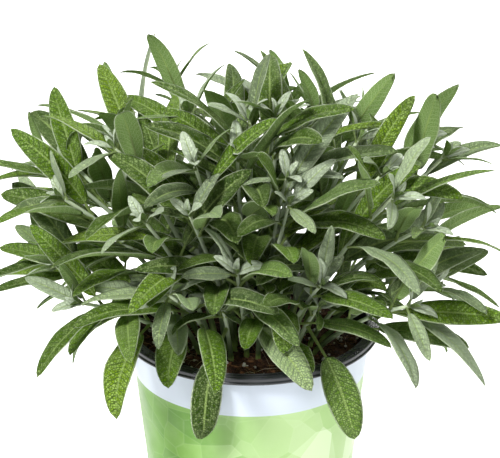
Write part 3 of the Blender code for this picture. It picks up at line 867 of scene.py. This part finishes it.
def ring_of(points, ring, around):
    """(centre, half width, up, depth) of a leaf's ring, or None."""
    pairs = opposite_pairs(ring, around)
    if pairs is None:
        return None
    spans = [np.linalg.norm(points[a] - points[b]) for a, b in pairs]
    (left, right), (under, upper) = pairs if spans[0] > spans[1] else pairs[::-1]
    centre = (points[under] + points[upper]) / 2
    up = points[upper] - points[under]
    depth = np.linalg.norm(up)
    edges = (points[left] + points[right]) / 2 - centre
    if edges @ up < 0:
        up = -up
    return centre, max(spans) / 2, up / depth, depth


def leaf_from_tip(points, around, tip):
    """The rings of one leaf, from its petiole's end to near its tip, and its socket."""
    found, seen, front = [], {tip}, set(around[tip])
    while len(front) == 4:
        ring = ring_of(points, sorted(front), around)
        if ring is None:
            return None
        found.append(ring)
        seen |= front
        if ring[3] > PETIOLE_DEPTH:
            socket = set().union(*(around[v] for v in front)) - seen
            return found[::-1], sorted(socket), seen
        front = set().union(*(around[v] for v in front)) - seen
    return None


def read_shoot(node):
    """(leaves, stem rings) of one shoot. A leaf is (socket's centre, rings, tip)."""
    points, around = merged_corners(node)
    leaves, used = [], set()
    for tip in range(len(points)):
        if len(around[tip]) != 4:
            continue
        last = ring_of(points, sorted(around[tip]), around)
        reach = np.linalg.norm(points[sorted(around[tip])].mean(axis=0) - points[tip])
        if last is None or abs(last[3] - BLADE_DEPTH) > DEPTH_SLACK or reach < TIP_REACH:
            continue
        leaf = leaf_from_tip(points, around, tip)
        if leaf is None:
            continue
        found, socket, seen = leaf
        leaves.append((points[socket].mean(axis=0), found, points[tip]))
        used |= seen
    stem = set(range(len(points))) - used
    front = set(sorted(stem, key=lambda v: points[v][2])[:4])
    rings, done = [], set()
    while front:
        rings.append(points[sorted(front)])
        done |= front
        front = (set().union(*(around[v] for v in front)) & stem) - done
    return leaves, rings


shoots = sorted(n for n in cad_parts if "_shoot_" in n)
grown = {node: read_shoot(node) for node in shoots}
print(len(shoots), "shoots,", sum(len(leaves) for leaves, _ in grown.values()), "leaves")
print("stems of", sorted({len(stem) for _, stem in grown.values()}), "rings")

# %% [markdown]
# ## One leaf, modelled once
# A sage leaf is lance-shaped with a blunt tip. Each half swells up between the midrib and
# the margin, the midrib lies in a groove, and the margin turns slightly under. The leaf
# starts as a flat grid. Its columns are lifted or lowered, its rows are narrowed to the
# outline and moved to be one unit long, and a Solidify modifier gives it thickness. A thread
# is added for the petiole, which runs on under the blade as the raised midrib.

# %% Master leaf
ROWS, COLUMNS = 14, 6
COLUMN_PLACES = (-1.0, -0.62, -0.20, 0.0, 0.20, 0.62, 1.0)
COLUMN_HEIGHTS = (-0.06, 0.085, 0.05, -0.055, 0.05, 0.085, -0.06)
LEAF_THICKNESS = 0.062  # of the half width
MIDRIB_END = 0.55  # share of the blade that the midrib runs along
TIP_WIDTH = 0.02  # least half width, in which the tip ends
PARKED = 10  # moved rows wait this far off, so that none is taken twice


def outline(share):
    """Half width of the blade along it, 1 at its widest."""
    return max(0.0, math.sin(math.pi * share**0.92)) ** 0.52


def row_place(row):
    """Where a row stands along the blade: closer together towards both ends."""
    share = row / ROWS
    return 0.5 * share + 0.25 * (1 - math.cos(math.pi * share))


deselect()
bpy.ops.mesh.primitive_grid_add(
    x_subdivisions=ROWS, y_subdivisions=COLUMNS, size=2, location=ORIGIN
)
master_leaf = bpy.context.active_object
master_leaf.name = "master_leaf"
edit(master_leaf)
for column in range(COLUMNS + 1):
    was = -1 + 2 * column / COLUMNS
    select_points(master_leaf, lambda co: abs(co.y - was) < 1e-4 and abs(co.z) < 1e-6)
    lift = COLUMN_HEIGHTS[column] + 1e-4  # never quite flat, so that no column is taken twice
    bpy.ops.transform.translate(value=(0, COLUMN_PLACES[column] - was, lift))
for row in range(ROWS + 1):
    was = -1 + 2 * row / ROWS
    select_points(master_leaf, lambda co: abs(co.x - was) < 1e-3)
    width = max(outline(row_place(row)), TIP_WIDTH)
    bpy.ops.transform.resize(value=(1, width, width), center_override=(was, 0, 0))
for row in range(ROWS, -1, -1):
    was = -1 + 2 * row / ROWS
    goal = row_place(row) + PARKED
    select_points(master_leaf, lambda co: abs(co.x - was) < 1e-3)
    bpy.ops.transform.translate(value=(goal - was, 0, 0))
bpy.ops.mesh.select_all(action="SELECT")
bpy.ops.transform.translate(value=(-PARKED, 0, 0))
bpy.ops.mesh.normals_make_consistent(inside=False)
bpy.ops.object.mode_set(mode="OBJECT")
bpy.ops.object.shade_smooth()
if sum(p.normal.z for p in master_leaf.data.polygons) < 0:
    master_leaf.data.flip_normals()
top_count = len(master_leaf.data.vertices)
apply_modifier(master_leaf, "SOLIDIFY", thickness=LEAF_THICKNESS, offset=-1)
blade_count = len(master_leaf.data.vertices)
print("blade", len(master_leaf.data.polygons), "faces", blade_count, "corners")

# %% Petiole and midrib
PETIOLE_LENGTHS = 7


def two_slots(mesh):
    """Room for two finishes: blades first, then stems and petioles."""
    mesh.materials.clear()
    mesh.materials.append(None)
    mesh.materials.append(None)


join_copies("master_leaf", [master_leaf, new_thread(6, PETIOLE_LENGTHS)])
two_slots(master_leaf.data)
leaf_shape = corners_of(master_leaf.data)
is_blade = np.arange(len(leaf_shape)) < blade_count
is_under = (np.arange(len(leaf_shape)) >= top_count) & is_blade
master_leaf.data.polygons.foreach_set(
    "material_index", [int(p.vertices[0] >= blade_count) for p in master_leaf.data.polygons]
)
along = leaf_shape[:, 0]
widths = np.array([max(outline(min(max(x, 0.0), 1.0)), TIP_WIDTH) for x in along])
across = np.where(is_blade, leaf_shape[:, 1] / widths, 0)
print("leaf with petiole", len(master_leaf.data.polygons), "faces")

# %% [markdown]
# ## One stem, modelled once
# All of the mint family have square stems. The master is a tube of eight sides, pulled
# towards its four corners, with many rings, so that it can follow a bow.

# %% Master stem
STEM_LENGTHS = 26
master_stem = new_thread(8, STEM_LENGTHS)
master_stem.name = "master_stem"
edit(master_stem)
bpy.ops.mesh.select_all(action="SELECT")
bpy.ops.transform.rotate(value=math.pi / 8, orient_axis="X", center_override=ORIGIN)
bpy.ops.object.mode_set(mode="OBJECT")
stem_shape = corners_of(master_stem.data)
stem_sides = stem_shape[:, 1:]
stem_sides = np.sign(stem_sides) * np.abs(stem_sides) ** 0.62
two_slots(master_stem.data)
master_stem.data.polygons.foreach_set("material_index", [1] * len(master_stem.data.polygons))
print("stem", len(master_stem.data.polygons), "faces")

# %% [markdown]
# ## Laying leaves and stems
# A leaf's own rings give a smooth centre line and the way its upper side looks. The master
# is laid along that line. Seeded dice give each leaf its own fold, wavy margin, curled tip
# and slight twist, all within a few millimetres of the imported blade. Four marks at each
# corner tell the finish how far it is off the midrib, how far up the blade, the leaf's own
# chance, and whether it is on the under side.

# %% Laying functions
SHEET_UNIT = 0.1  # metres of leaf to one unit of its unrolled sheet
KNOTS = {3: (0.0, 0.30, 0.71, 1.0), 2: (0.0, 0.48, 1.0)}  # where a leaf's rings stand
FOLD = (0.08, 0.50)  # lift of the margins, in half widths
WAVE = (0.03, 0.13)  # height of the margin's waves, in half widths
WAVES = (1.3, 2.6)  # how many waves a margin has
CURL = (0.05, 0.85)  # how far the tip turns down, in half widths
CURL_START, CURL_REACH = 0.55, 0.2
TWIST = (-0.40, 0.40)  # turn of the tip, in radians
PETIOLE_PLACES = (-1, -0.8, 0, 0.15, MIDRIB_END)  # 0 is where the blade starts
PETIOLE_HALVES = (1.15, 0.85, 0.75, 0.5, 0.22)  # half width there, in millimetres
DIAGONAL = 1.414  # of a square, to its side
ROOTED = 2.5 * MM  # how far a stem goes on into the soil
NEARBY = 0.03  # share of a stem to either side that gives its direction


def smooth_line(knots, places):
    """A polynomial through the places, as (point at, direction at)."""
    factors = np.linalg.solve(np.vander(knots, len(knots)), np.array(places))

    def at(shares):
        return np.vander(shares, len(knots)) @ factors

    def direction(shares):
        powers = np.arange(len(knots) - 1, 0, -1)
        slopes = np.vander(shares, len(knots) - 1) @ (factors[:-1] * powers[:, None])
        return slopes / np.linalg.norm(slopes, axis=1)[:, None]

    return at, direction


def unit(vectors):
    """Vectors at length 1, row by row."""
    return vectors / np.maximum(np.linalg.norm(vectors, axis=1), 1e-12)[:, None]


def between(shares, knots, rows):
    """Rows of three values, read off between their knots."""
    return np.stack([np.interp(shares, knots, rows[:, k]) for k in range(3)], axis=1)


def lay_leaf(socket, rings, tip, age):
    """One leaf copied from the master and laid on its rings. age is 0 old to 1 young."""
    knots = KNOTS[len(rings)]
    at, direction = smooth_line(knots, [r[0] for r in rings] + [tip])
    ups = np.array([r[2] for r in rings] + [rings[-1][2]])
    if ups[0] @ ups[1] < 0:
        ups[0] = -ups[0]
    half = max(r[1] for r in rings)
    base = rings[0][0]
    share = np.clip(along, 0, 1)
    fold, wave = dice.uniform(*FOLD), dice.uniform(*WAVE)
    waves, phase = dice.uniform(*WAVES), dice.uniform(0, math.tau)
    curl, twist = dice.uniform(*CURL), dice.uniform(*TWIST)

    def frame_at(shares):
        """Sideways and up, across the centre line."""
        ahead = direction(shares)
        right = unit(np.cross(between(shares, knots, ups), ahead))
        return right, np.cross(ahead, right)

    def tip_drop(shares):
        return curl * np.clip(shares - CURL_START, 0, 1) ** 2 / CURL_REACH

    # the blade
    right, up = frame_at(share)
    turn = twist * share[:, None] * share[:, None]
    right, up = (
        right * np.cos(turn) + up * np.sin(turn),
        up * np.cos(turn) - right * np.sin(turn),
    )
    side = leaf_shape[:, 1]
    lift = leaf_shape[:, 2] + fold * np.abs(side) * (1 - 0.5 * share)
    lift += wave * np.sin(math.tau * waves * share + phase + 0.9 * np.sign(side)) * side**2
    lift -= tip_drop(share)
    blade = at(share) + half * (side[:, None] * right + lift[:, None] * up)

    # the petiole: straight from its socket to the blade, then on under it as the midrib
    run = along * (1 + MIDRIB_END) - 1
    on_blade = np.clip(run, 0, 1)
    off_blade = (run < 0)[:, None]
    straight = socket + (base - socket) * np.clip(1 + run, 0, 1)[:, None]
    middle = np.where(off_blade, straight, at(on_blade))
    middle -= 0.12 * MM * ups[0] * off_blade
    thick = np.interp(run, PETIOLE_PLACES, PETIOLE_HALVES) * MM
    thick = thick * min(1.0, half / (6 * MM) + 0.25)
    right, up = frame_at(on_blade)
    sink = np.where(run > 0, LEAF_THICKNESS * half + 0.25 * thick, 0)
    drop = -tip_drop(on_blade) * half
    tube = middle + (thick * leaf_shape[:, 1])[:, None] * right
    tube += ((thick * leaf_shape[:, 2]) * 0.8 - sink + drop)[:, None] * up

    points = np.where(is_blade[:, None], blade, tube)
    chance = dice.random()
    up_blade = np.where(is_blade, share, 0.5)
    marks = np.stack([np.abs(across), up_blade, np.full(len(points), chance), is_under], axis=1)
    ages = np.full(len(points), age)
    made = copy_of(master_leaf, points, leaf_marks=marks, leaf_age=ages)
    length = np.linalg.norm(np.diff(at(np.linspace(0, 1, 12)), axis=0), axis=1).sum()
    sheet = made.data.uv_layers.new(name="leaf_mm")
    corner = np.empty(len(made.data.loops), np.int32)
    made.data.loops.foreach_get("vertex_index", corner)
    flat = np.stack([share * length, side * half], axis=1) / SHEET_UNIT
    sheet.data.foreach_set("uv", flat[corner].astype(np.float32).ravel())
    return made


def lay_stem(rings):
    """(stem, its centres): the master copied and bowed through its rings."""
    centres = np.array([ring.mean(axis=0) for ring in rings])
    corners = [np.linalg.norm(ring - c, axis=1).mean() for ring, c in zip(rings, centres)]
    halves = np.array(corners) / DIAGONAL
    steps = np.linalg.norm(np.diff(centres, axis=0), axis=1)
    shares = np.concatenate([[0], np.cumsum(steps)]) / steps.sum()
    corner = rings[0][0] - centres[0]
    share = stem_shape[:, 0]
    centre = between(share, shares, centres)
    above, below = (between(share + step, shares, centres) for step in (NEARBY, -NEARBY))
    ahead = unit(above - below)
    corner = corner - ahead * (ahead @ corner)[:, None]
    diagonal = unit(corner)
    other = np.cross(ahead, diagonal)
    flat, edge = (diagonal + other) / DIAGONAL, (other - diagonal) / DIAGONAL
    half = np.interp(share, shares, halves)
    points = centre + half[:, None] * (stem_sides[:, :1] * flat + stem_sides[:, 1:] * edge)
    points[share < 1e-6, 2] -= ROOTED
    chance = dice.random()
    marks = np.stack([share, 0 * share, np.full(len(points), chance), 0 * share], axis=1)
    made = copy_of(master_stem, points, leaf_marks=marks, leaf_age=share)
    made.data.uv_layers.new(name="leaf_mm")
    return made, centres


OUTER_BUD = ((28, 50), (13, 19))  # lean in degrees, length in millimetres
INNER_BUD = ((8, 18), (7, 11))


def bud_leaves(centres):
    """A rosette of very young leaves at the stem's tip, one crossed pair above the last."""
    tip, heading = centres[-1], unit((centres[-1] - centres[-3])[None])[0]
    sideways = unit(np.cross(heading, (0.3, 0.2, 1.0))[None])[0]
    start, found = dice.uniform(0, math.tau), []
    for leaf in range(4):
        turn = start + math.pi * leaf + (math.pi / 2 if leaf > 1 else 0)
        outward = sideways * math.cos(turn) + np.cross(heading, sideways) * math.sin(turn)
        leans, lengths = OUTER_BUD if leaf < 2 else INNER_BUD
        lean = math.radians(dice.uniform(*leans))
        length = dice.uniform(*lengths) * MM
        setting = heading * math.cos(lean) + outward * math.sin(lean)
        facing = unit((heading - setting * (heading @ setting))[None])[0]
        base = tip + setting * 1.2 * MM
        middle = base + setting * length * KNOTS[2][1] + facing * 0.05 * length
        end = base + setting * length - facing * 0.02 * length
        rings = [(base, 0.6 * MM, facing, 0), (middle, 0.19 * length, facing, 0)]
        found.append((tip - heading * 0.5 * MM, rings, end))
    return found


# %% [markdown]
# ## The leaf's surface
# Sage leaves are pebbled: a net of sunken veins divides the blade into tiny cushions, each
# about a millimetre across. Side veins leave the midrib at a slant and waver on their way to
# the margin. One node group draws this relief from the leaf's own unrolled sheet.

# %% Vein net group
VEIN_SPACING = 3.3  # millimetres between side veins
VEIN_SLANT = 0.85
CUSHIONS_PER_MM = 0.82
leaf_net, group_in, group_out = new_group(
    "leaf_net",
    [("Sheet", "NodeSocketVector", None), ("Chance", "NodeSocketFloat", 0.0)],
    [("Cushion", "NodeSocketFloat"), ("Side Vein", "NodeSocketFloat"), ("Tone", "NodeSocketFloat")],
)
sheet_axes = add_node(leaf_net, "ShaderNodeSeparateXYZ", {0: group_in.outputs["Sheet"]}).outputs
along_mm = maths(leaf_net, "MULTIPLY", sheet_axes["X"], SHEET_UNIT / MM)
across_mm = maths(leaf_net, "MULTIPLY", sheet_axes["Y"], SHEET_UNIT / MM)
off_midrib = maths(leaf_net, "ABSOLUTE", across_mm)
shift = maths(leaf_net, "MULTIPLY", group_in.outputs["Chance"], 70.0)
shifted = maths(leaf_net, "ADD", along_mm, shift)
net_place = add_node(
    leaf_net, "ShaderNodeCombineXYZ", {"X": shifted, "Y": across_mm, "Z": shift}
).outputs[0]
ruffle = noise(leaf_net, net_place, 0.35, 2.0)
slant = maths(leaf_net, "SUBTRACT", along_mm, maths(leaf_net, "MULTIPLY", off_midrib, VEIN_SLANT))
slant = maths(leaf_net, "ADD", slant, maths(leaf_net, "MULTIPLY", ruffle, 1.6))
swing = maths(leaf_net, "SINE", maths(leaf_net, "MULTIPLY", slant, math.tau / VEIN_SPACING))
side_vein = ramp(leaf_net, swing, 0.80, 1.0)
tones, off_groove = flat_cells(leaf_net, net_place, CUSHIONS_PER_MM, 0.9)
cushion = ramp(leaf_net, off_groove, 0.015, 0.15)
cushion = maths(leaf_net, "MULTIPLY", cushion, maths(leaf_net, "SUBTRACT", 1.0, side_vein))
leaf_net.links.new(cushion, group_out.inputs["Cushion"])
leaf_net.links.new(side_vein, group_out.inputs["Side Vein"])
leaf_net.links.new(tones[0], group_out.inputs["Tone"])
print("leaf net", len(leaf_net.nodes), "nodes")

# %% [markdown]
# ### Leaf finish
# The upper side is dull green, the under side is paler, and young leaves are grey-white.
# Grooves get a deeper green as painted shade, cushions carry pale hairs, the midrib is
# yellow-green, and a fine pale line of hairs follows the margin. Sheen gives the felt its glow
# at grazing angles, and a translucent share lets the light behind shine through.

# %% Foliage finish
def read_marks(tree):
    """What leaves and stems carry: (four marks, age)."""
    marks = add_node(tree, "ShaderNodeAttribute", attribute_name="leaf_marks").outputs
    first = add_node(tree, "ShaderNodeSeparateColor", {0: marks["Color"]}).outputs
    age = add_node(tree, "ShaderNodeAttribute", attribute_name="leaf_age").outputs["Fac"]
    return (first[0], first[1], first[2], marks["Alpha"]), age


foliage, tree, shader = new_finish(
    "sage_leaf", Roughness=0.62, Specular_IOR_Level=0.10, Sheen_Weight=0.03, Sheen_Roughness=0.40
)
shader.inputs["Sheen Tint"].default_value = (0.90, 0.95, 0.80, 1)
sheet = add_node(tree, "ShaderNodeUVMap", uv_map="leaf_mm").outputs[0]
(off_midrib, up_blade, chance, under), age = read_marks(tree)
net = use_group(tree, leaf_net, Sheet=sheet, Chance=chance)
place = object_place(tree)
blotch = noise(tree, place, 55.0, 3.0)

DEEP = (0.026, 0.060, 0.003)
FRESH = (0.098, 0.195, 0.006)
GREYISH = (0.140, 0.205, 0.070)
SPRING = (0.170, 0.285, 0.012)
YOUNG = (0.62, 0.70, 0.55)
FELT = (0.50, 0.62, 0.26)
# The groove colour is painted shade: a near-black green for the sunken net between cushions.
GROOVE_SHADE = (0.008, 0.026, 0.001)
SIDE_VEIN = (0.30, 0.42, 0.14)
RIB = (0.34, 0.46, 0.14)
MARGIN_HAIRS = (0.62, 0.70, 0.48)
UNDER_RIBS, UNDER_FELT = (0.34, 0.46, 0.19), (0.19, 0.30, 0.09)
SHINE_THROUGH = (0.40, 0.62, 0.03)
green = blend(tree, ramp(tree, chance, 0.05, 0.75), DEEP, FRESH)
green = blend(tree, ramp(tree, chance, 0.80, 1.0), green, SPRING)
grey_share = ramp(tree, blotch, 0.45, 0.70, 0.0, 0.40)
green = blend(tree, grey_share, green, GREYISH)
# Painted shade: the grooves between the cushions, and the side veins, are laid in a near-black
# green.
groove = blend(tree, 0.86, green, GROOVE_SHADE)
pebbled = blend(tree, net["Cushion"], groove, green)
hairy = ramp(tree, net["Tone"], 0.1, 0.9, 0.0, 0.26)
hairs = maths(tree, "MULTIPLY", net["Cushion"], hairy)
pebbled = blend(tree, hairs, pebbled, FELT)
aged = blend(tree, maths(tree, "MULTIPLY", age, 0.85), pebbled, YOUNG)
vein_share = maths(tree, "MULTIPLY", net["Side Vein"], 0.16)
veined = blend(tree, vein_share, aged, SIDE_VEIN)
under_felt = blend(tree, net["Cushion"], UNDER_RIBS, UNDER_FELT)
sided = blend(tree, under, veined, under_felt)
rib_share = ramp(tree, off_midrib, 0.03, 0.10, 0.75, 0.0)
rib_share = maths(tree, "MULTIPLY", rib_share, ramp(tree, up_blade, 0.55, 1.0, 1.0, 0.25))
ribbed = blend(tree, rib_share, sided, RIB)
margin = ramp(tree, off_midrib, 0.88, 0.98, 0.0, 0.75)
edged = blend(tree, margin, ribbed, MARGIN_HAIRS)
tree.links.new(edged, shader.inputs["Base Color"])
relief = maths(tree, "SUBTRACT", net["Cushion"], maths(tree, "MULTIPLY", net["Side Vein"], 0.7))
turned_over = maths(tree, "SUBTRACT", 1.0, maths(tree, "MULTIPLY", under, 1.5))
relief = maths(tree, "MULTIPLY", relief, turned_over)
normal = add_bump(tree, shader, relief, 1.0, 0.0006)
glow = add_node(tree, "ShaderNodeBsdfTranslucent", {"Normal": normal})
lit = blend(tree, 0.60, edged, SHINE_THROUGH)
tree.links.new(lit, glow.inputs["Color"])
mixed = add_node(
    tree, "ShaderNodeMixShader", {0: 0.26, 1: shader.outputs[0], 2: glow.outputs[0]}
)
tree.links.new(mixed.outputs[0], tree.nodes["Material Output"].inputs["Surface"])

# %% [markdown]
# ### Stem finish
# Stems are yellow-green, flushed purple-brown here and there, under a thin white felt that
# thickens towards the tip. Petioles share the finish.

# %% Stem finish
stem_green, tree, shader = new_finish(
    "felted_stem", Roughness=0.65, Specular_IOR_Level=0.15, Sheen_Weight=0.08, Sheen_Roughness=0.4
)
(_, _, chance, _), age = read_marks(tree)
place = object_place(tree)
worn = use_group(tree, wear_grain, Place=place, Cloud_Scale=190.0, Grain_Scale=2600.0)
fuzz = use_group(tree, speckle, Place=place, Scale=2600.0, Amount=0.9)["Mask"]
sappy = blend(tree, worn["Cloud"], (0.24, 0.31, 0.030), (0.44, 0.50, 0.09))
patches = ramp(tree, worn["Cloud"], 0.4, 0.6)
flush = maths(tree, "MULTIPLY", ramp(tree, chance, 0.45, 1.0), patches)
flushed = blend(tree, maths(tree, "MULTIPLY", flush, 0.55), sappy, (0.16, 0.085, 0.075))
felt_share = maths(tree, "MULTIPLY", fuzz, ramp(tree, age, 0.6, 1.0, 0.02, 0.65))
felted = blend(tree, felt_share, flushed, (0.60, 0.66, 0.54))
tree.links.new(felted, shader.inputs["Base Color"])
add_bump(tree, shader, worn["Height"], 0.6, 0.0003)

# %% [markdown]
# ## Growing the clump
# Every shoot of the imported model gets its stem, its leaves and a rosette of buds, joined into
# one piece, because a shoot grows as one. The upper leaves of a stem are younger and paler.

# %% Grow every shoot
YOUNG_FROM = 0.88  # share of the shoot's height above which leaves are young
PALE_CHANCES = (0, 0, 0, 0.10, 0.55)  # now and then a full-grown leaf is pale too
dice = random.Random(GROWTH_SEED)
for node in shoots:
    leaves, rings = grown[node]
    stem, centres = lay_stem(rings)
    copies = [stem]
    reach = np.linalg.norm(centres[-1] - centres[0])
    for socket, leaf_rings, tip in leaves:
        height = np.linalg.norm(socket - centres[0]) / reach
        age = min(1.0, max(0.0, (height - YOUNG_FROM) / (1 - YOUNG_FROM))) * dice.uniform(0.0, 0.8)
        age = max(age, dice.choice(PALE_CHANCES) * dice.random())
        copies.append(lay_leaf(socket, leaf_rings, tip, age))
    for socket, leaf_rings, tip in bud_leaves(centres):
        copies.append(lay_leaf(socket, leaf_rings, tip, dice.uniform(0.75, 1.0)))
    sprig = join_copies(node + "_sprig", copies)
    place_piece(sprig, node, "sage_foliage", foliage, stem_green)
for master in (master_leaf, master_stem):
    bpy.data.objects.remove(master)

# %% [markdown]
# ## The table
# A plain pale floor under the pot, part of the studio and not of the object.

# %% Floor
deselect()
bpy.ops.mesh.primitive_plane_add(size=12, location=ORIGIN)
floor = bpy.context.active_object
floor.name = "white_table"
table_white, tree, shader = new_finish("table_white", Roughness=0.6)
shader.inputs["Base Color"].default_value = (0.8, 0.8, 0.8, 1)
shader.inputs["Emission Color"].default_value = (1, 1, 1, 1)
shader.inputs["Emission Strength"].default_value = 0.45
floor.data.materials.append(table_white)
